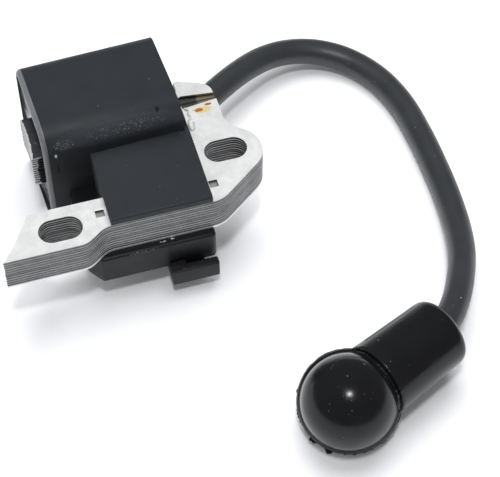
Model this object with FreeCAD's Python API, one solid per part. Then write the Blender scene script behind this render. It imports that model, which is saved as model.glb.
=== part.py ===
import FreeCAD, Part
import math
import os

# Ignition module of a small two-stroke engine, in millimetres.
# It is drawn in core coordinates: u runs along the front leg from its pole end, v runs across
# the core from the leg's outer edge, and z is height above the surface that the case stands on.
# place() turns a finished piece so that v points along -X and u along +Y, and puts the origin
# under the middle of the module, so +Y points away from the flywheel and both slots run along Y.

# --- driving dimensions ---------------------------------------------------------------------
lamination_count = 12
lamination_pitch = 0.65
lamination_gap = 0.03
core_top = 20.0
core_bottom = core_top - lamination_count * lamination_pitch

yoke_edge = 51.35          # u of the rear ear's outer edge
yoke_inner = 39.3          # u of the yoke's inner edge, against the coil case
yoke_back = 46.35          # u of the yoke's outer edge behind the ear
leg_front = 2.72           # v of the front leg's outer edge
leg_rear = 9.35            # v of the front leg's inner edge
slot_length = 8.0
slot_width = 5.0
front_slot = (11.35, 4.45)
rear_slot = (44.6, 13.85)
lock_size = (1.6, 1.55)    # interlock dimples punched in each lamination
front_lock = (18.1, 5.2)
rear_lock = (39.5, 6.0)

pole_u = 9.9               # u of the coil leg's pole face
shoe_v = (21.5, 31.5)      # width of the pole shoe
shoe_length = 4.1
leg_v = (23.0, 30.0)       # width of the coil leg inside the coil
leg_end = 38.9
coil_u = (15.2, 35.8)
coil_outer = 2.55          # from the coil leg to the outside of the secondary winding

flywheel_centre = (-29.0, 26.0)
flywheel_radius = 38.9

case_v = (18.8, 39.0)      # before the case is turned
case_pivot = (25.7, 18.8)
case_turn = 2.0            # degrees in plan: the case sits slightly askew on its leg
case_top = 28.1
case_wall = 1.15
case_left = (11.65, -0.052, 0.0)   # u at the left foot, and how it leans with v and with z
case_right = (39.7, -0.058, -0.06)
case_right_limit = 39.0    # the yoke stands against the case here
case_mouth = 0.9           # rounding of the open end's outer edge
resin_recess = 0.6

saddle_u = (20.2, 39.1)
saddle_thickness = 1.5
box_u = (15.2, 39.2)
box_front = 1.2
box_bottom = 5.7
box_chamfer = (17.6, 4.4)  # u and v where the cut-off front corner begins and ends
box_wall = 1.1
cover_thickness = 0.9

clip_front = -1.5
clip_bottom = 2.9
clip_top = 6.9

lead_radius = 2.6
lead_exit_angle = 35.0     # degrees from +u, in plan
gland_radius = 3.3
gland_length = 8.0
gland_seat = 5.25          # from the root to the end of the lead inside the gland
gland_root = (38.9, 30.3, 8.8)
spike_depth = 2.4          # how far the spike reaches into the case

boot_centre = (52.2, -37.28, 8.45)
boot_radius = 8.5
boot_lip_radius = 9.2
boot_lip = (1.6, 4.3)      # the lip's span along the mouth's axis
boot_mouth = (0.215, 0.470, -0.856)
boot_bore = 5.6
boot_bore_start = -2.4
arm_direction = (0.911, 0.412, 0.0)
arm_length = 23.0
arm_radius = (7.1, 6.6)    # at the ball and at the lead's end

# The lead lies free: out of the gland, down to the surface, round a wide bend and up into the
# boot's arm. These are the corners of its route.
lead_route = [
    (43.2, 33.31, 8.8), (50.0, 38.07, 8.8), (57.0, 42.8, 7.6), (62.6, 45.7, 6.1),
    (67.8, 46.75, 4.8), (73.2, 46.0, 3.8), (78.0, 43.3, 3.1), (81.7, 39.1, 2.75),
    (84.2, 34.1, 2.65), (85.7, 28.2, 2.65), (86.3, 21.2, 2.65), (86.5, 13.4, 2.65),
    (86.35, 5.4, 2.75), (85.6, -2.5, 3.2), (83.85, -10.2, 4.4), (80.7, -17.2, 6.2),
    (76.9, -23.6, 7.6), (72.4, -28.15, 8.45), (66.6, -30.77, 8.45),
]

PARTS = "parts"
ORIGIN_U = yoke_edge / 2
ORIGIN_V = 0.0             # set once the case's furthest edge is known


# --- helpers --------------------------------------------------------------------------------
def vec(point):
    return FreeCAD.Vector(*point)


def unit(direction):
    return vec(direction).normalize()


def place(shape):
    """Core coordinates to the part's own frame."""
    turned = shape.copy()
    turned.translate(FreeCAD.Vector(-ORIGIN_U, -ORIGIN_V, 0))
    turned.rotate(FreeCAD.Vector(0, 0, 0), FreeCAD.Vector(0, 0, 1), 90)
    return turned


def save(name, shape):
    placed = place(shape)
    placed.exportStep(f"{PARTS}/{name}.step")
    print(f"{name}: {len(placed.Solids)} solid, {placed.Volume:.1f} mm3")


def block(u, v, z):
    """A box between two limits on each axis."""
    return Part.makeBox(u[1] - u[0], v[1] - v[0], z[1] - z[0], FreeCAD.Vector(u[0], v[0], z[0]))


def rod(start, direction, length, radius, end_radius=None):
    """A round bar, or a cone when a second radius is given."""
    if end_radius is None:
        return Part.makeCylinder(radius, length, vec(start), vec(direction))
    return Part.makeCone(radius, end_radius, length, vec(start), vec(direction))


def rounded_outline(corners):
    """A closed wire through corners given as (u, v, radius), with an arc at each radius."""
    count = len(corners)
    ends = []
    for i, (u, v, radius) in enumerate(corners):
        here = FreeCAD.Vector(u, v, 0)
        back = (FreeCAD.Vector(*corners[i - 1][:2], 0) - here).normalize()
        ahead = (FreeCAD.Vector(*corners[(i + 1) % count][:2], 0) - here).normalize()
        if radius == 0:
            ends.append((here, None, here))
            continue
        half = back.getAngle(ahead) / 2
        setback = radius / math.tan(half)
        middle = (back + ahead).normalize() * (radius / math.sin(half) - radius)
        ends.append((here + back * setback, here + middle, here + ahead * setback))
    edges = []
    for i, (start, middle, end) in enumerate(ends):
        if middle:
            edges.append(Part.Arc(start, middle, end).toShape())
        following = ends[(i + 1) % count][0]
        if end.distanceToPoint(following) > 1e-6:
            edges.append(Part.LineSegment(end, following).toShape())
    return Part.Wire(edges)


def plate(corners, bottom, thickness):
    """A flat plate with a rounded outline."""
    face = Part.Face(rounded_outline(corners))
    face.translate(FreeCAD.Vector(0, 0, bottom))
    return face.extrude(FreeCAD.Vector(0, 0, thickness))


def slot(centre):
    """The cutter of a slot through the whole core, running along u."""
    half = (slot_length - slot_width) / 2
    r = slot_width / 2
    u, v = centre
    depth = (core_bottom - 1, core_top + 1)
    cutter = block((u - half, u + half), (v - r, v + r), depth)
    for end in (u - half, u + half):
        cutter = cutter.fuse(rod((end, v, depth[0]), (0, 0, 1), depth[1] - depth[0], r))
    return cutter.removeSplitter()


def tube_along(points, radius):
    """A round cord: straight runs joined by tangent arcs, each as large as its runs allow."""
    points = [vec(p) for p in points]
    edges, radii = [], []
    at = points[0]
    for before, here, after in zip(points, points[1:], points[2:]):
        back, ahead = (before - here), (after - here)
        setback = 0.45 * min(back.Length, ahead.Length)
        back.normalize()
        ahead.normalize()
        half = back.getAngle(ahead) / 2
        bend = setback * math.tan(half)
        middle = (back + ahead).normalize() * (bend / math.sin(half) - bend)
        start, end = here + back * setback, here + ahead * setback
        edges.append(Part.LineSegment(at, start).toShape())
        edges.append(Part.Arc(start, here + middle, end).toShape())
        radii.append(bend)
        at = end
    edges.append(Part.LineSegment(at, points[-1]).toShape())
    path = Part.Wire(edges)
    ring = Part.Wire(Part.Circle(points[0], points[1] - points[0], radius).toShape())
    tube = path.makePipeShell([ring], True, False)
    expected = math.pi * radius**2 * path.Length
    print("bend radii:", " ".join(f"{r:.0f}" for r in radii))
    print(f"cord length {path.Length:.1f}, volume {tube.Volume:.1f}, expected {expected:.1f}")
    return tube


# --- core -----------------------------------------------------------------------------------
def pole_relief():
    """The flywheel's sweep, which leaves the pole faces concave."""
    u, v = flywheel_centre
    return rod((u, v, core_bottom - 1), (0, 0, 1), core_top - core_bottom + 2, flywheel_radius)


def frame_outline(long_yoke):
    """The stamping with the front leg, both ears and the yoke up to the joint."""
    joint = [(46.3, 27.0, 0), (yoke_inner, 27.0, 0)]
    if not long_yoke:
        joint = [(46.3, 26.3, 0), (yoke_inner, 25.5, 0)]
    return [
        (0, 0, 0), (15.25, 0, 3.8), (19.15, leg_front, 4.4), (40.95, leg_front, 5.9),
        (yoke_edge, 10.6, 5.2), (yoke_edge, 16.05, 5.2), (yoke_back, 19.65, 4.3),
        *joint,
        (yoke_inner, leg_rear, 0.8), (5.0, leg_rear, 0),
    ]


def leg_outline(long_head):
    """The stamping with the pole shoe, the coil leg and the head that meets the yoke."""
    joint = [(yoke_inner, 28.5, 0), (46.2, 27.7, 0)]
    if long_head:
        joint = [(yoke_inner, 27.05, 0), (46.3, 27.05, 0)]
    return [
        (8.5, shoe_v[0], 0), (pole_u + shoe_length, shoe_v[0], 0.6),
        (pole_u + shoe_length, leg_v[0], 0), (leg_end, leg_v[0], 0.4),
        (leg_end, joint[0][1], 0), *joint,
        (46.2, 30.2, 3.2), (yoke_inner, 33.0, 0.8), (yoke_inner, leg_v[1], 0.3),
        (pole_u + shoe_length, leg_v[1], 0), (pole_u + shoe_length, shoe_v[1], 0.6),
        (8.5, shoe_v[1], 0),
    ]


def laminations():
    """Two stacks that interleave at the yoke: the joint steps back in every second layer."""
    relief = pole_relief()
    slots = slot(front_slot).fuse(slot(rear_slot))
    thickness = lamination_pitch - lamination_gap
    for i in range(lamination_count):
        bottom = core_top - thickness - i * lamination_pitch
        stepped = i % 2 == 1
        frame = plate(frame_outline(stepped), bottom, thickness).cut(slots).cut(relief)
        leg = plate(leg_outline(stepped), bottom, thickness).cut(relief)
        if i == 0:
            for u, v in (front_lock, rear_lock):
                span = ((u, u + lock_size[0]), (v, v + lock_size[1]), (bottom - 1, core_top + 1))
                frame = frame.cut(block(*span))
        save(f"frame_lamination_{i + 1:02d}", frame)
        save(f"coil_leg_lamination_{i + 1:02d}", leg)


# --- coil inside the case -------------------------------------------------------------------
def sleeve(u, inner, outer):
    """A rectangular sleeve round the coil leg, between two clearances from it."""
    def around(clearance):
        return ((leg_v[0] - clearance, leg_v[1] + clearance),
                (core_bottom - clearance, core_top + clearance))
    return block(u, *around(outer)).cut(block((u[0] - 1, u[1] + 1), *around(inner)))


def coil():
    flange = 0.7
    layers = (("primary", 0.2, 0.5, 0.9), ("secondary", 1.65, 0.35, coil_outer - 2.0))
    for name, inner, wall, depth in layers:
        winding = inner + wall + 0.02
        former = sleeve(coil_u, inner, inner + wall)
        for end in (coil_u[0], coil_u[1] - flange):
            former = former.fuse(sleeve((end, end + flange), inner, inner + wall + depth))
        save(f"{name}_bobbin", former.removeSplitter())
        wound = (coil_u[0] + flange, coil_u[1] - flange)
        save(f"{name}_winding", sleeve(wound, winding, inner + wall + depth))


# --- housing --------------------------------------------------------------------------------
def turned(shape):
    """Turned in plan, as the case sits on its leg."""
    shape.rotate(FreeCAD.Vector(*case_pivot, 0), FreeCAD.Vector(0, 0, 1), case_turn)
    return shape


def long_edge(shape, v, z):
    """The edge of a long box that runs along u at this v and z."""
    return [e for e in shape.Edges
            if abs(e.CenterOfMass.y - v) < 1e-6 and abs(e.CenterOfMass.z - z) < 1e-6]


def end_plane(face, inset, outwards):
    """All the room beyond one of the case's two leaning ends."""
    u, lean_v, lean_z = face
    far = 30
    corners = []
    for v, z in ((10, -5), (50, -5), (50, 35), (10, 35)):
        here = u + inset + lean_v * (v - case_v[0]) + lean_z * z
        corners.append(FreeCAD.Vector(here, v, z))
    side = Part.Face(Part.makePolygon(corners + corners[:1]))
    return side.extrude(FreeCAD.Vector(far * outwards, 0, 0))


def rounded_case():
    """The outside of the coil case: leaning ends, every long edge rounded."""
    outside = block((2, 50), case_v, (0, case_top))
    for v, z, radius in ((case_v[0], case_top, 4.6), (case_v[1], case_top, 3.4),
                         (case_v[0], 0, 1.6), (case_v[1], 0, 1.6)):
        outside = outside.makeFillet(radius, long_edge(outside, v, z))
    outside = turned(outside)
    outside = outside.cut(end_plane(case_left, 0, -1)).cut(end_plane(case_right, 0, 1))
    mouth = min(outside.Faces, key=lambda face: face.CenterOfMass.x)
    outside = outside.makeFillet(case_mouth, mouth.Edges)
    return outside.cut(block((case_right_limit, 60), (0, 60), (-5, 40)))


def cavity(recess=-5):
    """The space in the coil case, open at the flywheel side, from this far inside the rim."""
    v = (case_v[0] + case_wall, case_v[1] - case_wall)
    hollow = block((0, case_right_limit - case_wall - 1.1), v,
                   (case_wall, case_top - case_wall))
    for edge_v, edge_z, radius in ((v[0], case_top - case_wall, 3.4),
                                   (v[1], case_top - case_wall, 2.2),
                                   (v[0], case_wall, 1.0), (v[1], case_wall, 1.0)):
        hollow = hollow.makeFillet(radius, long_edge(hollow, edge_v, edge_z))
    return turned(hollow).cut(end_plane(case_left, recess, -1))


def leg_passage(clearance):
    """Room for the coil leg, its pole shoe and its head."""
    def room(u, v):
        return block(u, (v[0] - clearance, v[1] + clearance),
                     (core_bottom - clearance, core_top + clearance))
    shoe_end = pole_u + shoe_length + clearance
    return room((5, shoe_end), shoe_v).fuse(room((shoe_end, 50), leg_v))


def coil_case():
    """The moulded case, with the saddle that holds it to the front leg."""
    bridge = block((saddle_u[0], case_right_limit), (leg_rear + 0.1, case_v[0] + 1.4),
                   (core_bottom, core_top + saddle_thickness))
    saddle = block(saddle_u, (leg_front, case_v[0] + 1.4),
                   (core_top, core_top + saddle_thickness))
    front_edge = [e for e in saddle.Edges if abs(e.CenterOfMass.y - leg_front) < 1e-6
                  and e.CenterOfMass.z > core_top + 1]
    front_edge = [e for e in front_edge if abs(e.tangentAt(e.FirstParameter).x) > 0.99]
    saddle = saddle.makeFillet(0.5, front_edge)
    body = rounded_case().fuse(bridge).fuse(saddle).cut(cavity())
    body = body.cut(leg_passage(0.05)).cut(spike(0.05))
    body = body.cut(block((yoke_inner - 0.3, 50), (leg_front - 1, 34), (core_bottom, core_top)))
    return body.removeSplitter()


def potting_resin():
    """Resin poured into the case round the coil, a little short of the rim."""
    fill = cavity(resin_recess)
    coil_room = sleeve(coil_u, -1, coil_outer)
    fill = fill.cut(coil_room).cut(leg_passage(0.05))
    save("potting_resin", fill.cut(spike(0.05)).removeSplitter())


def trigger_case():
    """The electronics housing under the front leg, open downwards."""
    outline = [(box_chamfer[0], box_front, 0.5), (box_u[1], box_front, 0.8),
               (box_u[1], case_v[0], 0), (box_u[0], case_v[0], 1.5),
               (box_u[0], box_chamfer[1], 2.0)]
    shell = plate(outline, box_bottom, core_bottom - box_bottom)
    room = [(box_chamfer[0] + 0.5, box_front + box_wall, 0.4),
            (box_u[1] - box_wall, box_front + box_wall, 0.5),
            (box_u[1] - box_wall, case_v[0] - box_wall, 0.5),
            (box_u[0] + box_wall, case_v[0] - box_wall, 0.5),
            (box_u[0] + box_wall, box_chamfer[1] + 0.4, 1.0)]
    shell = shell.cut(plate(room, box_bottom - 1, core_bottom - box_bottom + 1 - box_wall))
    shell = shell.cut(rounded_case())
    top_front = [e for e in shell.Edges if abs(e.CenterOfMass.z - core_bottom) < 1e-6
                 and abs(e.CenterOfMass.y - box_front) < 1e-6]
    save("trigger_case", shell.makeFillet(0.6, top_front))
    gap = 0.05
    lid = [(u + (gap if u < 25 else -gap), v + (gap if v < 10 else -gap), max(r - gap, 0.3))
           for u, v, r in room]
    save("trigger_cover", plate(lid, box_bottom, cover_thickness))


def electronics():
    """The board in the trigger case, with its parts hanging over the cover."""
    board_bottom = 8.9
    board = block((20.0, 37.4), (3.4, 16.8), (board_bottom, board_bottom + 1.0))
    save("circuit_board", board)
    save("charge_capacitor", block((28.6, 36.0), (4.4, 10.2), (6.75, board_bottom)))
    save("thyristor", block((21.4, 26.0), (4.6, 8.6), (7.3, board_bottom)))
    diodes = [rod((22.0, v, 7.9), (1, 0, 0), 4.2, 0.95) for v in (11.4, 14.4)]
    save("diodes", Part.makeCompound(diodes))


def wire_clip():
    """A hooked clip under the trigger case that holds the stop wire."""
    root = block((30, 33), (clip_front, 7), (clip_bottom, box_bottom))
    nose = block((30, 33), (clip_front, box_front - 0.05), (clip_bottom, clip_top))
    bar = block((33, 39), (clip_front, 0.2), (clip_bottom, clip_top))
    web = block((33, 37), (0.2, 4.5), (clip_bottom, clip_bottom + 1.6))
    save("wire_clip", root.fuse(nose).fuse(bar).fuse(web).removeSplitter())


def ground_wire():
    """A bare wire end from the coil, bent down on the core beside the case."""
    r = 0.2
    z = core_top + r
    points = [(39.75, 25.35, z), (40.45, 24.65, z), (40.05, 23.9, z), (40.45, 22.95, z),
              (39.7, 22.25, z), (39.6, 20.9, z), (39.75, 19.75, z), (40.4, 20.3, z),
              (40.6, 21.6, z)]
    wire = tube_along(points, r)
    save("ground_wire", wire)


# --- lead and plug boot ---------------------------------------------------------------------
def exit_direction():
    angle = math.radians(lead_exit_angle)
    return FreeCAD.Vector(math.cos(angle), math.sin(angle), 0)


def spike(clearance):
    """The brass spike from the coil's end to the end of the lead, or the hole that it needs."""
    ahead = exit_direction()
    start = vec(gland_root) - ahead * spike_depth
    return rod(start, ahead, spike_depth + gland_seat, 0.85 + clearance)


def gland():
    """The boss that the lead comes out of, under the yoke, and the spike that it is screwed on."""
    ahead = exit_direction()
    root = vec(gland_root)
    boss = rod(root - ahead * 2, ahead, gland_length + 2, gland_radius)
    boss = boss.cut(rounded_case())
    boss = boss.cut(rod(root + ahead * gland_seat, ahead, gland_length, lead_radius + 0.08))
    save("lead_gland", boss.cut(spike(0.05)))
    save("lead_terminal", spike(0))


def plug_boot():
    """A rubber elbow: a ball over the plug's terminal, and an arm that grips the lead."""
    centre, mouth, arm = vec(boot_centre), unit(boot_mouth), unit(arm_direction)
    end_round = 1.6
    sleeve_arm = rod(centre, arm, arm_length, arm_radius[0], arm_radius[1])
    rim = [e for e in sleeve_arm.Edges if abs((e.CenterOfMass - centre).dot(arm) - arm_length) < 0.1
           and e.Closed]
    sleeve_arm = sleeve_arm.makeFillet(end_round, rim)
    ball = Part.makeSphere(boot_radius, centre)
    lip = rod(centre + mouth * boot_lip[0], mouth, boot_lip[1] - boot_lip[0], boot_lip_radius)
    skirt = rod(centre, mouth, boot_lip[1], boot_radius - 0.02)
    body = ball.cut(rod(centre + mouth * boot_lip[1], mouth, 9, 12)).fuse(skirt).fuse(lip)
    body = body.fuse(sleeve_arm)
    body = body.cut(rod(centre + mouth * boot_bore_start, mouth, 9, boot_bore))
    lead_bore = tube_along(lead_route[-3:], lead_radius + 0.05)
    body = body.cut(lead_bore)
    inner_end = vec(lead_route[-1])
    link = inner_end - centre
    body = body.cut(rod(centre, link, link.Length, 0.6))
    save("plug_boot", body)
    contact = rod(centre + unit(link) * 5.7, link, link.Length - 5.7, 0.5)
    save("lead_contact", contact)
    return centre, mouth


def plug_spring(centre, mouth):
    """The coil spring that snaps over the plug's terminal nut."""
    wire, radius, pitch, turns, corners = 0.4, 4.9, 1.6, 3, 16
    across = mouth.cross(FreeCAD.Vector(0, 0, 1)).normalize()
    upright = across.cross(mouth)
    start = centre + mouth * (boot_bore_start + wire + 0.2)
    points = []
    for i in range(turns * corners + 1):
        angle = 2 * math.pi * i / corners
        reach = across * math.cos(angle) + upright * math.sin(angle)
        points.append(tuple(start + reach * radius + mouth * (pitch * i / corners)))
    save("plug_spring", tube_along(points, wire))


os.makedirs(PARTS, exist_ok=True)
case = coil_case()
ORIGIN_V = (clip_front + case.BoundBox.YMax) / 2
print(f"origin at u {ORIGIN_U:.5f}, v {ORIGIN_V:.5f}")
laminations()
coil()
save("coil_case", case)
potting_resin()
trigger_case()
electronics()
wire_clip()
ground_wire()
gland()
save("ht_lead", tube_along(lead_route, lead_radius))
plug_spring(*plug_boot())
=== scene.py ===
# Ignition coil of a small two-stroke engine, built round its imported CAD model.
import bpy
import bmesh
import math
import random
from mathutils import Matrix, Vector, noise


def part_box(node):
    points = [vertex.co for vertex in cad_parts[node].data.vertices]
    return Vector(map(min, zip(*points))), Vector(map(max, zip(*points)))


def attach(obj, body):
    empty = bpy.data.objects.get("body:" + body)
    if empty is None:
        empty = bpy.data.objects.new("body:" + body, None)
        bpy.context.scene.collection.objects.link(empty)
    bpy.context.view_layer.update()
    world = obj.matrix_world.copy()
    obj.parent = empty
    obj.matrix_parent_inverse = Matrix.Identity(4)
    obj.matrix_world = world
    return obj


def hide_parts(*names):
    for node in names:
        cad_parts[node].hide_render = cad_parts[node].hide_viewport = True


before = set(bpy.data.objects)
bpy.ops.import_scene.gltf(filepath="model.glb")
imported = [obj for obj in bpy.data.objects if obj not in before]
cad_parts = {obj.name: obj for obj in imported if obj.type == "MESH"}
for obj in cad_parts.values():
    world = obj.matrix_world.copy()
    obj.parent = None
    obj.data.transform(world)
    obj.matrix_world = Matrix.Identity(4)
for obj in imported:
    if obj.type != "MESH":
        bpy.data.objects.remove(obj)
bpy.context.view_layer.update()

MM = 0.001

# ------------------------------------------------------------------------------- camera ----
# The module is looked at from above its bare front leg, with a long lens that keeps the
# stamped steel nearly free of perspective.
CORE_TOP = 20.0
YOKE_EDGE = 51.35      # u of the yoke's outer side
CLIP_FRONT = -1.5      # v of the stop-wire clip's front
CORE_ORIGIN = Vector((YOKE_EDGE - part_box("frame_lamination_01")[1][1] / MM,
                      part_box("wire_clip")[1][0] / MM + CLIP_FRONT, 0))


def at(u, v, z):
    """Core millimetres (u along the front leg, v across the core, z up) to the frame's metres."""
    return Vector((CORE_ORIGIN.y - v, u - CORE_ORIGIN.x, z)) * MM


def towards(u, v, z):
    """A direction in core coordinates, turned into the frame."""
    return Vector((-v, u, z)).normalized()


def link(piece):
    bpy.context.scene.collection.objects.link(piece)
    return piece


camera_data = bpy.data.cameras.new("camera")
camera_data.lens = 122.4
camera_data.sensor_width = 36.0
camera_data.clip_start = 0.01
camera = link(bpy.data.objects.new("camera", camera_data))
camera.location = at(-6.52, -176.8, 264.52)
camera_aim = at(43.19, -6.92, CORE_TOP)
camera.rotation_euler = (camera_aim - camera.location).to_track_quat("-Z", "Y").to_euler()
bpy.context.scene.camera = camera

# --------------------------------------------------------------------------------- lead ----
# The high-tension lead is a stranded conductor in thick black rubber. It is pushed on a spike
# inside the gland at one end and held by the plug boot's arm at the other.
LEAD_RADIUS = 2.6 * MM
LEAD_ROUTE = [
    (43.2, 33.31, 8.8), (50.0, 38.07, 8.8), (57.0, 42.8, 7.6), (62.6, 45.7, 6.1),
    (67.8, 46.75, 4.8), (73.2, 46.0, 3.8), (78.0, 43.3, 3.1), (81.7, 39.1, 2.75),
    (84.2, 34.1, 2.65), (85.7, 28.2, 2.65), (86.3, 21.2, 2.65), (86.5, 13.4, 2.65),
    (86.35, 5.4, 2.75), (85.6, -2.5, 3.2), (83.85, -10.2, 4.4), (80.7, -17.2, 6.2),
    (76.9, -23.6, 7.6), (72.4, -28.15, 8.45), (66.6, -30.77, 8.45),
]


def curve_through(name, points, radius, sides):
    """A round NURBS cord with its control points at the given core coordinates. The radius is
    set at the points, because the curve's box is measured by it."""
    data = bpy.data.curves.new(name, "CURVE")
    data.dimensions = "3D"
    spline = data.splines.new("NURBS")
    spline.points.add(len(points) - 1)
    for control, point in zip(spline.points, points):
        control.co = (*at(*point), 1)
        control.radius = radius
    spline.order_u = 3
    spline.use_endpoint_u = True
    spline.resolution_u = 12
    data.bevel_depth = 1.0
    data.bevel_resolution = sides
    data.use_fill_caps = True
    return link(bpy.data.objects.new(name, data))


lead = curve_through("high_tension_lead", LEAD_ROUTE, LEAD_RADIUS, 12)
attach(lead, "root")
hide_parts("ht_lead")


def add_node(tree, kind, inputs=None, **settings):
    """A shader node with its settings, and its inputs set to a value or fed by a socket."""
    made = tree.nodes.new(kind)
    for key, value in settings.items():
        setattr(made, key, value)
    for key, value in (inputs or {}).items():
        if isinstance(value, bpy.types.NodeSocket):
            tree.links.new(value, made.inputs[key])
        else:
            made.inputs[key].default_value = value
    return made


def effect_group(name, inputs, outputs):
    """An empty shader group with named number sockets, its input node and its output node."""
    tree = bpy.data.node_groups.new(name, "ShaderNodeTree")
    for label, value in inputs.items():
        made = tree.interface.new_socket(name=label, in_out="INPUT",
                                         socket_type="NodeSocketFloat")
        made.default_value = value
    for label in outputs:
        tree.interface.new_socket(name=label, in_out="OUTPUT", socket_type="NodeSocketFloat")
    return tree, tree.nodes.new("NodeGroupInput"), tree.nodes.new("NodeGroupOutput")


def surface(name, **sockets):
    """A material whose Principled BSDF has these sockets set."""
    material = bpy.data.materials.new(name)
    material.use_nodes = True
    shader = material.node_tree.nodes["Principled BSDF"]
    for key, value in sockets.items():
        shader.inputs[key.replace("_", " ")].default_value = value
    return material, material.node_tree, shader


DUST = (0.30, 0.31, 0.33)

# Moulded skin: the fine uneven surface of rubber and plastic, with lint and dust on it.
skin_group, skin_in, skin_out = effect_group(
    "moulded_skin", {"Grain Scale": 3000.0, "Dust Threshold": 0.7},
    ("Height", "Dust", "Sheen Variation"))
skin_place = add_node(skin_group, "ShaderNodeTexCoord")
skin_grain = add_node(skin_group, "ShaderNodeTexNoise",
                      {"Vector": skin_place.outputs["Object"],
                       "Scale": skin_in.outputs["Grain Scale"], "Detail": 3.0,
                       "Roughness": 0.65})
skin_cloud = add_node(skin_group, "ShaderNodeTexNoise",
                      {"Vector": skin_place.outputs["Object"], "Scale": 260.0, "Detail": 4.0})
skin_dust_field = add_node(skin_group, "ShaderNodeTexNoise",
                           {"Vector": skin_place.outputs["Object"], "Scale": 1900.0,
                            "Detail": 2.0, "Roughness": 0.6})
skin_dust_edge = add_node(skin_group, "ShaderNodeMath",
                          {0: skin_dust_field.outputs["Fac"],
                           1: skin_in.outputs["Dust Threshold"]}, operation="SUBTRACT")
skin_dust = add_node(skin_group, "ShaderNodeMapRange",
                     {"Value": skin_dust_edge.outputs[0], "From Min": 0.0, "From Max": 0.03},
                     interpolation_type="SMOOTHSTEP")
skin_group.links.new(skin_grain.outputs["Fac"], skin_out.inputs["Height"])
skin_group.links.new(skin_dust.outputs["Result"], skin_out.inputs["Dust"])
skin_group.links.new(skin_cloud.outputs["Fac"], skin_out.inputs["Sheen Variation"])


def mix_colour(tree, factor, first, second):
    """The colour between two others, each a socket or a plain colour."""
    made = tree.nodes.new("ShaderNodeMixRGB")
    for key, value in (("Fac", factor), ("Color1", first), ("Color2", second)):
        if isinstance(value, bpy.types.NodeSocket):
            tree.links.new(value, made.inputs[key])
        else:
            made.inputs[key].default_value = value if key == "Fac" else (*value, 1)
    return made.outputs["Color"]


def marked(tree, colour, marks):
    """A colour with ragged patches on it. Each is a centre, its reach along X, Y and Z in
    millimetres, the scale of the noise that breaks it up, a threshold and a tint: 0.5 gives a
    solid patch, and 0.8 scattered flecks."""
    place = add_node(tree, "ShaderNodeTexCoord")
    for centre, reach, grain, threshold, tint in marks:
        off = add_node(tree, "ShaderNodeVectorMath",
                       {0: place.outputs["Object"], 1: centre}, operation="SUBTRACT")
        scaled = add_node(tree, "ShaderNodeVectorMath",
                          {0: off.outputs["Vector"], 1: [1 / (r * MM) for r in reach]},
                          operation="MULTIPLY")
        away = add_node(tree, "ShaderNodeVectorMath", {0: scaled.outputs["Vector"]},
                        operation="LENGTH")
        share = add_node(tree, "ShaderNodeMapRange",
                         {"Value": away.outputs["Value"], "From Min": 0.6, "From Max": 1.4,
                          "To Min": 0.25, "To Max": -0.45}, clamp=True)
        field = add_node(tree, "ShaderNodeTexNoise",
                         {"Vector": place.outputs["Object"], "Scale": grain, "Detail": 3.0,
                          "Roughness": 0.6})
        raised = add_node(tree, "ShaderNodeMath",
                          {0: field.outputs["Fac"], 1: share.outputs["Result"]},
                          operation="ADD")
        mask = add_node(tree, "ShaderNodeMapRange",
                        {"Value": raised.outputs[0], "From Min": threshold,
                         "From Max": threshold + 0.05}, interpolation_type="SMOOTHSTEP")
        colour = mix_colour(tree, mask.outputs["Result"], colour, tint)
    return colour


def moulded(name, colour, light_colour, roughness, grain_scale, grain_depth, dust_threshold,
            specular=0.5, marks=(), **sockets):
    """Black rubber or plastic: two tones of its colour, uneven gloss, a fine grain and dust."""
    material, tree, shader = surface(name, Specular_IOR_Level=specular, **sockets)
    skin = add_node(tree, "ShaderNodeGroup", node_tree=skin_group)
    skin.inputs["Grain Scale"].default_value = grain_scale
    skin.inputs["Dust Threshold"].default_value = dust_threshold
    tone = mix_colour(tree, skin.outputs["Sheen Variation"], colour, light_colour)
    dusted = mix_colour(tree, skin.outputs["Dust"], tone, DUST)
    tree.links.new(marked(tree, dusted, marks), shader.inputs["Base Color"])
    gloss = add_node(tree, "ShaderNodeMapRange",
                     {"Value": skin.outputs["Sheen Variation"], "From Min": 0.3,
                      "From Max": 0.7, "To Min": roughness - 0.06, "To Max": roughness + 0.08})
    tree.links.new(gloss.outputs["Result"], shader.inputs["Roughness"])
    bump = add_node(tree, "ShaderNodeBump",
                    {"Height": skin.outputs["Height"], "Strength": 1.0,
                     "Distance": grain_depth * MM})
    tree.links.new(bump.outputs["Normal"], shader.inputs["Normal"])
    return material


lead_rubber = moulded("lead_rubber", (0.020, 0.022, 0.025), (0.034, 0.037, 0.042), 0.4,
                      1500.0, 0.03, 0.745, 0.6)
lead.data.materials.append(lead_rubber)

# ------------------------------------------------------------------------------- gland ----
# The gland is a boss of the coil case, under the yoke, that the lead is pushed into. The
# brass spike inside it pierces the lead's end and joins the secondary winding.
def cad_copy(node, name):
    """A bmesh of a CAD node with its loose triangles merged into plain faces."""
    shape = bmesh.new()
    shape.from_mesh(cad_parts[node].data)
    bmesh.ops.remove_doubles(shape, verts=shape.verts, dist=0.002 * MM)
    bmesh.ops.dissolve_limit(shape, angle_limit=math.radians(1.0), verts=shape.verts,
                             edges=shape.edges)
    return shape


def soften(shape, width, segments, sharper_than=30):
    """Rounds each edge that turns by more than the given angle."""
    limit = math.radians(sharper_than)
    edges = [e for e in shape.edges
             if len(e.link_faces) == 2 and e.calc_face_angle() > limit]
    bmesh.ops.bevel(shape, geom=edges, offset=width * MM, offset_type="OFFSET",
                    segments=segments, profile=0.5, affect="EDGES", material=-1,
                    clamp_overlap=True)


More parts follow.
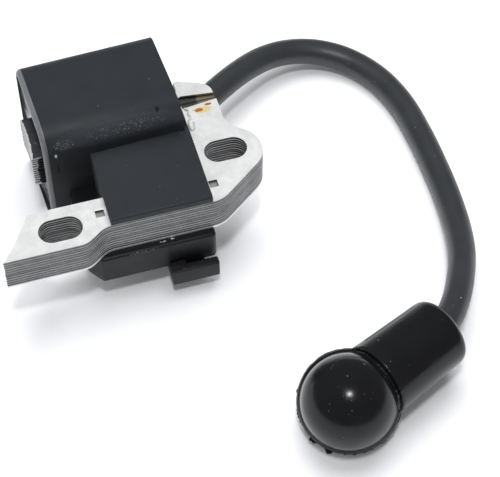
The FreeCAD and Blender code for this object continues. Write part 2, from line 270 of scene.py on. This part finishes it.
def finished(shape, name, materials, smooth_below=40):
    """Turns a bmesh into a piece that rides on the module, shaded smooth but for sharp edges."""
    mesh = bpy.data.meshes.new(name)
    shape.to_mesh(mesh)
    shape.free()
    for material in materials:
        mesh.materials.append(material)
    mesh.shade_smooth()
    mesh.set_sharp_from_angle(angle=math.radians(smooth_below))
    piece = link(bpy.data.objects.new(name, mesh))
    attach(piece, "root")
    return piece


FLECK = (0.16, 0.17, 0.18)
# On the case, the first mark is a paler band along the rounded edge between top and front: partly
# dust, partly a painted highlight.
# The case's fourth mark, a near-black slit near the open end, is painted shade in a small recess.
case_plastic = moulded(
    "case_plastic", (0.018, 0.0206, 0.0238), (0.0245, 0.028, 0.032), 0.52, 2600.0, 0.03, 0.755,
    0.35, [(at(27.0, 19.6, 25.4), (2.6, 15.0, 2.6), 5600.0, 0.5, (0.036, 0.040, 0.046)),
           (at(27.0, 19.7, 25.4), (2.0, 12.5, 2.0), 4200.0, 0.83, FLECK),
           (at(15.5, 19.4, 25.0), (1.8, 3.6, 1.8), 4200.0, 0.80, FLECK),
           (at(14.0, 18.8, 19.6), (0.8, 0.22, 2.0), 700.0, 0.5, (0.003, 0.003, 0.004)),
           (at(13.9, 18.85, 23.2), (0.9, 0.5, 0.9), 3400.0, 0.62, (0.75, 0.76, 0.78)),
           (at(33.6, 20.8, 27.3), (0.8, 0.5, 0.7), 900.0, 0.55, (0.005, 0.005, 0.006))])
gland_shape = cad_copy("lead_gland", "gland")
soften(gland_shape, 0.3, 3)
gland = finished(gland_shape, "lead_gland_boss", [case_plastic])
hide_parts("lead_gland")

brass, _, _ = surface("terminal_brass", Base_Color=(0.62, 0.45, 0.2, 1), Metallic=1.0,
                      Roughness=0.32)


def dress(node, material):
    """Gives a CAD node that keeps its own shape a better material."""
    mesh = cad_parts[node].data
    mesh.materials.clear()
    mesh.materials.append(material)


dress("lead_terminal", brass)
dress("lead_contact", brass)

# -------------------------------------------------------------------------- laminations ----
# The core is two stacks of stamped electrical steel, twelve sheets each, locked together by
# punched dimples. The frame has the front leg, both slotted ears and the yoke.
# Each sheet has an edge rolled over by the punch. The roll is painted bright as a highlight, and
# the cut side and the gap under the roll are painted dark as shade, so the stack's sides show
# lines.
SHEETS = 12
SHEET_PITCH = 0.65
TOP_ROLL, BOTTOM_ROLL = 0.17, 0.24
SHEET_STAGGER = 0.04
random.seed(7)

mottle_group, mottle_in, mottle_out = effect_group(
    "mill_mottle", {"Cloud Scale": 420.0, "Speck Threshold": 0.69}, ("Cloud", "Specks"))
mottle_place = add_node(mottle_group, "ShaderNodeTexCoord")
mottle_cloud = add_node(mottle_group, "ShaderNodeTexNoise",
                        {"Vector": mottle_place.outputs["Object"],
                         "Scale": mottle_in.outputs["Cloud Scale"], "Detail": 6.0,
                         "Roughness": 0.62})
mottle_field = add_node(mottle_group, "ShaderNodeTexNoise",
                        {"Vector": mottle_place.outputs["Object"], "Scale": 1500.0,
                         "Detail": 3.0, "Roughness": 0.7})
mottle_edge = add_node(mottle_group, "ShaderNodeMath",
                       {0: mottle_field.outputs["Fac"],
                        1: mottle_in.outputs["Speck Threshold"]}, operation="SUBTRACT")
mottle_specks = add_node(mottle_group, "ShaderNodeMapRange",
                         {"Value": mottle_edge.outputs[0], "From Min": 0.0, "From Max": 0.08},
                         interpolation_type="SMOOTHSTEP")
mottle_group.links.new(mottle_cloud.outputs["Fac"], mottle_out.inputs["Cloud"])
mottle_group.links.new(mottle_specks.outputs["Result"], mottle_out.inputs["Specks"])


def steel(name, light, dark, speck, roughness, metallic, marks=()):
    """Rolled steel with clouds, specks and marks."""
    material, tree, shader = surface(name, Metallic=metallic)
    mottle = add_node(tree, "ShaderNodeGroup", node_tree=mottle_group)
    cloud = add_node(tree, "ShaderNodeMapRange",
                     {"Value": mottle.outputs["Cloud"], "From Min": 0.35, "From Max": 0.65})
    colour = mix_colour(tree, cloud.outputs["Result"], light, dark)
    speck_share = add_node(tree, "ShaderNodeMath", {0: mottle.outputs["Specks"], 1: 0.7},
                           operation="MULTIPLY")
    colour = mix_colour(tree, speck_share.outputs[0], colour, speck)
    tree.links.new(marked(tree, colour, marks), shader.inputs["Base Color"])
    gloss = add_node(tree, "ShaderNodeMapRange",
                     {"Value": mottle.outputs["Cloud"], "From Min": 0.3, "From Max": 0.7,
                      "To Min": roughness - 0.06, "To Max": roughness + 0.1})
    tree.links.new(gloss.outputs["Result"], shader.inputs["Roughness"])
    bump = add_node(tree, "ShaderNodeBump",
                    {"Height": mottle.outputs["Cloud"], "Strength": 0.6,
                     "Distance": 0.02 * MM})
    tree.links.new(bump.outputs["Normal"], shader.inputs["Normal"])
    return material


RUST = (0.42, 0.15, 0.04)
FLUX = (0.74, 0.62, 0.30)
RESIN_FILM = (0.012, 0.012, 0.014)
joint_dirt = [(at(43.6, 27.5, 19.0), (2.2, 4.2, 1.3), 900.0, 0.3, (0.19, 0.165, 0.115)),
              (at(41.0, 27.6, 19.0), (2.0, 1.7, 1.3), 900.0, 0.3, (0.05, 0.054, 0.045))]
LOCK_FLOOR_MIDDLES = ((18.9, 5.98), (40.3, 6.78))
STEEL_TONES = (0.78, 0.79, 0.78), (0.66, 0.67, 0.66), (0.30, 0.30, 0.29), 0.42, 0.3
lock_floors = [(at(u, v, CORE_TOP - SHEET_PITCH), (1.0, 1.0, 0.5), 900.0, 0.2,
                (0.30, 0.30, 0.295)) for u, v in LOCK_FLOOR_MIDDLES]
sheet_face = steel("sheet_face", *STEEL_TONES, joint_dirt + lock_floors)
top_face = steel("top_sheet_face", *STEEL_TONES,
                 [(at(43.0, 24.3, CORE_TOP), (0.95, 2.1, 1.0), 1500.0, 0.54, FLUX),
                  (at(42.35, 24.4, CORE_TOP), (0.5, 0.9, 1.0), 2000.0, 0.52, RUST),
                  (at(44.35, 25.35, CORE_TOP), (0.36, 0.7, 1.0), 2000.0, 0.52, RUST)])
shoe_film = [(at(11.8, 21.5, 15.5), (0.6, 1.3, 6.0), 900.0, 0.45, RESIN_FILM)] + joint_dirt
# The cut sides and the gap under each roll are painted dark as shade; the roll is painted bright
# as a highlight.
cut_edge_painted_shade = steel("cut_edge_painted_shade", (0.15, 0.15, 0.155), (0.10, 0.10, 0.105), (0.05, 0.05, 0.05),
                 0.38, 0.8, shoe_film)
rolled_edge_painted_highlight = steel("rolled_edge_painted_highlight", (0.92, 0.92, 0.92), (0.80, 0.80, 0.80), (0.6, 0.6, 0.6),
                    0.35, 0.7, shoe_film)
sheet_gap_painted_shade = steel("sheet_gap_painted_shade", (0.07, 0.07, 0.07), (0.03, 0.03, 0.03), (0.02, 0.02, 0.02),
                  0.6, 0.3)
# Inside the ears' slots the cut sides are painted darker still, as shade.
slot_wall_painted_shade = steel("slot_wall_painted_shade", (0.11, 0.11, 0.11), (0.07, 0.07, 0.07), (0.03, 0.03, 0.03),
                  0.45, 0.6)
SLOT_CENTRES = [at(11.35, 4.45, 0).xy, at(44.6, 13.85, 0).xy]
SLOT_REACH = 4.2 * MM


def lamination(node, name, face_material):
    """One sheet: flat faces, cut sides painted dark as shade, a roll above painted bright as a
    highlight and a gap below painted dark as shade.
    """
    shape = cad_copy(node, name)
    shape.normal_update()
    rims = [e for e in shape.edges if len(e.link_faces) == 2
            and abs(abs(e.link_faces[0].normal.z) - abs(e.link_faces[1].normal.z)) > 0.9]
    middle_z = sum(v.co.z for v in shape.verts) / len(shape.verts)
    for side, width in ((1, TOP_ROLL), (-1, BOTTOM_ROLL)):
        chosen = [e for e in rims if e.is_valid and (e.verts[0].co.z - middle_z) * side > 0]
        bmesh.ops.bevel(shape, geom=chosen, offset=width * MM, offset_type="OFFSET",
                        segments=1, profile=0.5, affect="EDGES", material=-1,
                        clamp_overlap=True)
    shape.normal_update()
    # Faces turned up take the roll's painted highlight, faces turned down the gap's painted
    # shade, and the sides the cut edge's painted shade, darker still inside the slots.
    for face in shape.faces:
        centre = face.calc_center_median()
        in_slot = min((centre.xy - slot).length for slot in SLOT_CENTRES) < SLOT_REACH
        if abs(face.normal.z) > 0.95:
            face.material_index = 0
        elif face.normal.z > 0.2:
            face.material_index = 2
        elif face.normal.z < -0.2:
            face.material_index = 3
        else:
            face.material_index = 4 if in_slot else 1
    shift = Vector((random.uniform(-1, 1), random.uniform(-1, 1), 0)) * SHEET_STAGGER * MM
    bmesh.ops.translate(shape, vec=shift, verts=shape.verts)
    # The lowest sheet's side is bare, and its whole side is painted bright as a highlight.
    side_material = rolled_edge_painted_highlight if name.endswith(str(SHEETS)) else cut_edge_painted_shade
    piece = finished(shape, name,
                     [face_material, side_material, rolled_edge_painted_highlight, sheet_gap_painted_shade, slot_wall_painted_shade],
                     25)
    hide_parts(node)


for sheet in range(1, SHEETS + 1):
    face = top_face if sheet == 1 else sheet_face
    lamination(f"frame_lamination_{sheet:02d}", f"frame_sheet_{sheet:02d}", face)
    lamination(f"coil_leg_lamination_{sheet:02d}", f"leg_sheet_{sheet:02d}", face)

# --------------------------------------------------------------------------------- coil ----
# Inside the case the coil leg carries two moulded bobbins, one in the other. The inner one
# has the primary winding of thick enamelled wire and the outer one the fine secondary.
bobbin_plastic = moulded("bobbin_plastic", (0.55, 0.52, 0.42), (0.62, 0.59, 0.5), 0.5,
                         1500.0, 0.02, 0.8)
copper, copper_tree, copper_shader = surface(
    "copper_wire", Base_Color=(0.55, 0.2, 0.08, 1), Metallic=0.9, Roughness=0.35)
wire_place = add_node(copper_tree, "ShaderNodeTexCoord")
wire_turns = add_node(copper_tree, "ShaderNodeTexWave",
                      {"Vector": wire_place.outputs["Object"], "Scale": 1600.0},
                      bands_direction="Y")
wire_bump = add_node(copper_tree, "ShaderNodeBump",
                     {"Height": wire_turns.outputs["Fac"], "Distance": 0.08 * MM})
copper_tree.links.new(wire_bump.outputs["Normal"], copper_shader.inputs["Normal"])
for winding in ("primary", "secondary"):
    dress(f"{winding}_bobbin", bobbin_plastic)
    dress(f"{winding}_winding", copper)

# --------------------------------------------------------------------------------- case ----
# The case is one moulding of black plastic: a box round the coil, open towards the flywheel,
# and a saddle that lies over the front leg. Its rounded rim is painted pale as a highlight.
HIGHLIGHT_RIM_DEPTH = 1.53
rim_painted_highlight = moulded("rim_painted_highlight", (0.10, 0.105, 0.115), (0.17, 0.175, 0.185), 0.45,
                      2200.0, 0.03, 0.7, 0.5)
case_shape = cad_copy("coil_case", "case")
case_shape.normal_update()
# The rim is the large flat face at the open end, not one of the narrow ones round it.
foremost = min(vertex.co.y for vertex in case_shape.verts)
rim = max((face for face in case_shape.faces
           if face.normal.y < -0.99 and face.calc_center_median().y < foremost + 2 * MM),
          key=lambda face: face.calc_area())
rim_point, rim_normal = rim.verts[0].co.copy(), rim.normal.copy()


def depth_in_mouth(point):
    """How far a point lies inside the plane of the case's open end."""
    return -(point - rim_point).dot(rim_normal)


# Faces near the open end get the rim's painted highlight.
for face in case_shape.faces:
    if all(depth_in_mouth(vertex.co) < HIGHLIGHT_RIM_DEPTH * MM for vertex in face.verts):
        face.material_index = 1
soften(case_shape, 0.28, 3)
case = finished(case_shape, "coil_case_moulding", [case_plastic, rim_painted_highlight])
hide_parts("coil_case")

# -------------------------------------------------------------------------------- resin ----
# Black resin was poured into the case round the coil and set with an uneven, glossy top that
# climbs a little at the walls.
# The resin's one mark paints a paler patch on its lower part: painted light.
resin_black = moulded("potting_resin", (0.028, 0.029, 0.032), (0.05, 0.052, 0.056), 0.24,
                      700.0, 0.08, 0.72, 0.45,
                      [(at(11.3, 25.0, 4.0), (14.0, 2.5, 3.8), 900.0, 0.45,
                        (0.10, 0.104, 0.11))])
RESIN_RECESS = 0.6
# The case's inner corners: which side along X, which along Z, and their radius.
RESIN_CORNERS = ((1, 1, 3.4), (-1, 1, 2.2), (1, -1, 1.0), (-1, -1, 1.0))


def mouth_y(x, z):
    """Where the plane of the case's open end is, at this place across it."""
    return rim_point.y - ((x - rim_point.x) * rim_normal.x
                          + (z - rim_point.z) * rim_normal.z) / rim_normal.y


resin_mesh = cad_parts["potting_resin"].data
mouth_points = [v.co for v in resin_mesh.vertices
                if abs(v.co.y - mouth_y(v.co.x, v.co.z) - RESIN_RECESS * MM) < 0.3 * MM]
resin_low = Vector([min(p[i] for p in mouth_points) for i in range(3)])
resin_high = Vector([max(p[i] for p in mouth_points) for i in range(3)])
resin_middle, resin_size = (resin_low + resin_high) / 2, resin_high - resin_low
resin_shape = bmesh.new()
bmesh.ops.create_grid(resin_shape, x_segments=56, y_segments=40, size=0.5)
bmesh.ops.rotate(resin_shape, verts=resin_shape.verts, cent=(0, 0, 0),
                 matrix=Matrix.Rotation(math.radians(90), 3, "X"))
bmesh.ops.scale(resin_shape, verts=resin_shape.verts, vec=(resin_size.x, 1, resin_size.z))
bmesh.ops.translate(resin_shape, verts=resin_shape.verts,
                    vec=(resin_middle.x, 0, resin_middle.z))
for vertex in resin_shape.verts:
    x, z = vertex.co.x, vertex.co.z
    across = abs(x - resin_middle.x) / (resin_size.x / 2)
    upwards = abs(z - resin_middle.z) / (resin_size.z / 2)
    for side, up, radius in RESIN_CORNERS:
        past_x = (x - resin_middle.x) * side - resin_size.x / 2 + radius * MM
        past_z = (z - resin_middle.z) * up - resin_size.z / 2 + radius * MM
        if past_x > 0 and past_z > 0:
            outside = 1 - max(past_x, past_z) / math.hypot(past_x, past_z)
            x -= side * past_x * outside
            z -= up * past_z * outside
    vertex.co.x, vertex.co.z = x, z
    climb = max(across, upwards) ** 10 * 0.4
    here = Vector((x, 0, z))
    ripple = (noise.noise(here / (4.5 * MM)) * 0.4
              + noise.noise(here / (1.8 * MM) + Vector((7, 0, 0))) * 0.12)
    vertex.co.y = mouth_y(x, z) + (RESIN_RECESS + 0.25 - climb + ripple) * MM
resin_back = bmesh.ops.extrude_face_region(resin_shape, geom=resin_shape.faces[:])
for item in resin_back["geom"]:
    if isinstance(item, bmesh.types.BMVert):
        item.co.y = mouth_y(item.co.x, item.co.z) + 3.0 * MM
bmesh.ops.recalc_face_normals(resin_shape, faces=resin_shape.faces)
resin = finished(resin_shape, "resin_fill", [resin_black], 60)
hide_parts("potting_resin")

# Some of the resin ran over the pole shoe and was wiped off its outer edge only.
POLE_CENTRE, POLE_RADIUS = (-29.0, 26.0), 38.9
SHOE_V = (21.5, 31.5)
FILM_BARE = 0.35
film_shape = bmesh.new()
bmesh.ops.create_grid(film_shape, x_segments=26, y_segments=60, size=0.5)
for vertex in film_shape.verts:
    inward, across = vertex.co.x + 0.5, vertex.co.y + 0.5
    v = SHOE_V[0] + 0.1 + (SHOE_V[1] - SHOE_V[0] - 0.2) * across
    face_u = POLE_CENTRE[0] + math.sqrt(POLE_RADIUS ** 2 - (v - POLE_CENTRE[1]) ** 2)
    ragged = 0.18 * noise.noise(Vector((v * 0.9, 3.1, 0))) + 0.1 * noise.noise(
        Vector((v * 2.9, 8.4, 0)))
    u = face_u + FILM_BARE + ragged + (13.2 - face_u - FILM_BARE) * inward
    edge = min(inward * 4, across * 12, (1 - across) * 12, 1)
    height = 0.16 * math.sqrt(edge) + 0.05 * edge * noise.noise(Vector((u, v, 0)) * 1.3)
    vertex.co = at(u, v, CORE_TOP + 0.005 + height)
film_back = bmesh.ops.extrude_face_region(film_shape, geom=film_shape.faces[:])
for item in film_back["geom"]:
    if isinstance(item, bmesh.types.BMVert):
        item.co.z = (CORE_TOP + 0.003) * MM
bmesh.ops.recalc_face_normals(film_shape, faces=film_shape.faces)
finished(film_shape, "resin_on_pole_shoe", [resin_black], 60)

# ------------------------------------------------------------------------- trigger case ----
# The electronics sit in a shallow box under the front leg, closed by a plate from below. A
# hooked clip moulded in rougher plastic holds the engine's stop wire.
trigger_shape = cad_copy("trigger_case", "trigger")
soften(trigger_shape, 0.3, 3)
CHIP = (0.7, 0.7, 0.7)
trigger_plastic = moulded(
    "trigger_plastic", (0.007, 0.0076, 0.0086), (0.011, 0.0118, 0.013), 0.46, 2200.0, 0.03, 0.75,
    0.3, [(at(31.2, 2.5, 12.2), (0.25, 0.45, 0.4), 2600.0, 0.62, CHIP),
          (at(29.3, 2.3, 12.2), (0.25, 0.8, 0.4), 3800.0, 0.72, CHIP),
          (at(25.4, 1.2, 12.0), (0.4, 4.6, 0.5), 4800.0, 0.79, (0.2, 0.2, 0.2))])
trigger = finished(trigger_shape, "trigger_case_moulding", [trigger_plastic])
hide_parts("trigger_case")
cover_shape = cad_copy("trigger_cover", "cover")
soften(cover_shape, 0.15, 2)
cover = finished(cover_shape, "trigger_case_cover", [trigger_plastic])
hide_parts("trigger_cover")
clip_plastic = moulded("clip_plastic", (0.006, 0.0063, 0.007), (0.012, 0.0125, 0.014), 0.5,
                       1300.0, 0.12, 0.72, 0.35)
clip_shape = cad_copy("wire_clip", "clip")
soften(clip_shape, 0.3, 3)
clip = finished(clip_shape, "stop_wire_clip", [clip_plastic])
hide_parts("wire_clip")

board_green, _, _ = surface("board", Base_Color=(0.03, 0.12, 0.05, 1), Roughness=0.35)
component_black = moulded("component_body", (0.02, 0.018, 0.018), (0.04, 0.036, 0.034), 0.3,
                          1800.0, 0.01, 0.8)
dress("circuit_board", board_green)
for component in ("charge_capacitor", "thyristor", "diodes"):
    dress(component, component_black)

# -------------------------------------------------------------------------- ground wire ----
# The coil's ground end is a tinned wire, bent down on the core beside the case.
tinned, _, _ = surface("tinned_wire", Base_Color=(0.95, 0.95, 0.95, 1), Metallic=0.6,
                       Roughness=0.25)
dress("ground_wire", tinned)

# ---------------------------------------------------------------------------- plug boot ----
# The boot is an elbow moulded in one piece of black rubber. A ball goes over the plug's
# terminal, its lip keeps water out, and a tapered arm grips the lead.
BALL = at(52.2, -37.28, 8.45)
BALL_RADIUS = 8.5
LIP_RADIUS = 9.2
MOUTH = towards(0.215, 0.470, -0.856)
ARM = towards(0.911, 0.412, 0.0)
ARM_LENGTH = 23.0


def spun(profile, centre, axis, steps):
    """A solid of revolution from (radius, distance along the axis) points in millimetres."""
    shape = bmesh.new()
    points = [shape.verts.new((r * MM, 0, s * MM)) for r, s in profile]
    edges = [shape.edges.new(pair) for pair in zip(points, points[1:])]
    bmesh.ops.spin(shape, geom=points + edges, cent=(0, 0, 0), axis=(0, 0, 1), dvec=(0, 0, 0),
                   angle=math.tau, steps=steps, use_merge=True)
    bmesh.ops.remove_doubles(shape, verts=shape.verts, dist=0.001 * MM)
    bmesh.ops.recalc_face_normals(shape, faces=shape.faces)
    turn = Vector((0, 0, 1)).rotation_difference(axis).to_matrix().to_4x4()
    bmesh.ops.transform(shape, matrix=Matrix.Translation(centre) @ turn, verts=shape.verts)
    return shape


def arc(centre, radius, start, end, count):
    """Points of an arc in a profile, between two angles in degrees from the radius."""
    made = []
    for i in range(count + 1):
        angle = math.radians(start + (end - start) * i / count)
        made.append((centre[0] + radius * math.cos(angle),
                     centre[1] + radius * math.sin(angle)))
    return made


def joined(shapes):
    """Several bmeshes as one."""
    whole = bmesh.new()
    for shape in shapes:
        mesh = bpy.data.meshes.new("part")
        shape.to_mesh(mesh)
        shape.free()
        whole.from_mesh(mesh)
        bpy.data.meshes.remove(mesh)
    return whole


ball_profile = [(0, -BALL_RADIUS)]
ball_profile += arc((0, 0), BALL_RADIUS, -88, 0, 24)
ball_profile += [(8.5, 1.1), (8.62, 1.5)]
ball_profile += [(9.1, 1.7), (LIP_RADIUS, 2.0), (LIP_RADIUS, 3.8), (9.1, 4.15), (8.8, 4.3),
                 (6.0, 4.3), (5.6, 4.0), (5.6, -2.1), (5.3, -2.4), (0, -2.4)]
arm_profile = [(0, 6.4), (7.05, 6.4), (6.62, 21.3)]
arm_profile += arc((5.0, 21.4), 1.6, 0, 90, 6)
arm_profile += [(3.3, ARM_LENGTH), (2.75, ARM_LENGTH - 0.4), (2.62, 15.0), (0, 15.0)]
boot_shape = joined([spun(ball_profile, BALL, MOUTH, 72), spun(arm_profile, BALL, ARM, 64)])
boot_rubber = moulded("boot_rubber", (0.0055, 0.0056, 0.0068), (0.009, 0.0093, 0.0108), 0.2,
                      900.0, 0.012, 0.735, 0.3)
boot = finished(boot_shape, "plug_boot_moulding", [boot_rubber], 60)
fuse = boot.modifiers.new("fuse", "REMESH")
fuse.mode = "VOXEL"
fuse.voxel_size = 0.26 * MM
fuse.use_smooth_shade = True
settle = boot.modifiers.new("settle", "SMOOTH")
settle.factor = 0.5
settle.iterations = 4
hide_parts("plug_boot")

# Flash: a thin ragged skin of rubber that was squeezed out between the mould's halves.
FLASH_DEPTH = 3.12
flash_shape = spun([(8.9, FLASH_DEPTH - 0.12), (LIP_RADIUS + 0.05, FLASH_DEPTH - 0.03),
                    (LIP_RADIUS + 0.05, FLASH_DEPTH + 0.03), (8.9, FLASH_DEPTH + 0.13),
                    (8.9, FLASH_DEPTH - 0.12)], BALL, MOUTH, 288)
flash_worst = towards(-0.75, -0.5, -0.1)
for vertex in flash_shape.verts:
    off = vertex.co - BALL
    out = off - MOUTH * off.dot(MOUTH)
    if out.length > LIP_RADIUS * MM:
        away = out.normalized()
        share = max(0.0, away.dot(flash_worst)) ** 1.5
        ragged = max(0.0, noise.noise(away * 6.1) + 0.5 * noise.noise(away * 19.0) + 0.15)
        vertex.co += away * (0.05 + 1.1 * share * ragged + 0.12 * ragged) * MM
flash = finished(flash_shape, "boot_flash", [boot_rubber], 60)

# The mould's parting line is left as a low ridge along the arm.
RIDGE_FROM, RIDGE_TO = 8.6, 20.2
ARM_START, ARM_START_RADIUS, ARM_TAPER = 6.4, 6.98, 0.0273
RIDGE_SINK = 0.16
ridge_side = ARM.cross(Vector((0, 0, 1))).normalized()
ridge_up = (Vector((0, 0, 0.62)) - ridge_side * 0.78).normalized()
ridge_shape = bmesh.new()
bmesh.ops.create_cone(ridge_shape, cap_ends=True, segments=8, radius1=0.30 * MM,
                      radius2=0.26 * MM, depth=(RIDGE_TO - RIDGE_FROM) * MM)
ridge_middle = (RIDGE_FROM + RIDGE_TO) / 2
ridge_height = ARM_START_RADIUS - ARM_TAPER * (ridge_middle - ARM_START) - RIDGE_SINK
ridge_centre = BALL + ARM * ridge_middle * MM + ridge_up * ridge_height * MM
ridge_axis = (ARM - ridge_up * ARM_TAPER).normalized()
ridge_turn = Vector((0, 0, 1)).rotation_difference(ridge_axis).to_matrix().to_4x4()
bmesh.ops.transform(ridge_shape, verts=ridge_shape.verts,
                    matrix=Matrix.Translation(ridge_centre) @ ridge_turn)
ridge = finished(ridge_shape, "boot_parting_line", [boot_rubber], 60)

spring_steel, _, _ = surface("spring_steel", Base_Color=(0.6, 0.6, 0.6, 1), Metallic=1.0,
                             Roughness=0.3)
dress("plug_spring", spring_steel)

# -------------------------------------------------------------------------------- stage ----
# The module lies on a white sheet. A small lamp high up gives crisp highlights, and a large
# soft one overhead and a weaker one in front show only in the shading, not as reflections.
floor_shape = bmesh.new()
bmesh.ops.create_grid(floor_shape, x_segments=1, y_segments=1, size=3.0)
floor_mesh = bpy.data.meshes.new("floor")
floor_shape.to_mesh(floor_mesh)
floor_shape.free()
floor_white, _, _ = surface(
    "floor_white", Base_Color=(0.90, 0.91, 0.93, 1), Roughness=0.9,
    Emission_Color=(1.0, 1.0, 1.0, 1), Emission_Strength=0.06)
floor_mesh.materials.append(floor_white)
floor = link(bpy.data.objects.new("floor", floor_mesh))


def soft_light(name, place, target, size, power):
    """A square area light aimed at a point."""
    data = bpy.data.lights.new(name, "AREA")
    data.size = size
    data.energy = power
    lamp = link(bpy.data.objects.new(name, data))
    lamp.location = place
    lamp.rotation_euler = (target - lamp.location).to_track_quat("-Z", "Y").to_euler()
    return lamp


middle = at(45, 5, 5)
soft_light("key", middle + Vector((0.21, -0.06, 0.77)), middle, 0.09, 2.1)
overhead = soft_light("overhead", middle + Vector((-0.20, 0.08, 0.60)), middle, 0.5, 4.1)
overhead.visible_glossy = False
fill = soft_light("fill", middle + Vector((-0.20, -0.50, 0.22)), middle, 0.5, 0.9)
fill.visible_glossy = False
world = bpy.data.worlds.new("world")
world.use_nodes = True
world.node_tree.nodes["Background"].inputs["Color"].default_value = (0.95, 0.975, 1.0, 1)
world.node_tree.nodes["Background"].inputs["Strength"].default_value = 0.2
bpy.context.scene.world = world
bpy.context.scene.view_settings.view_transform = "Standard"

bpy.context.view_layer.update()
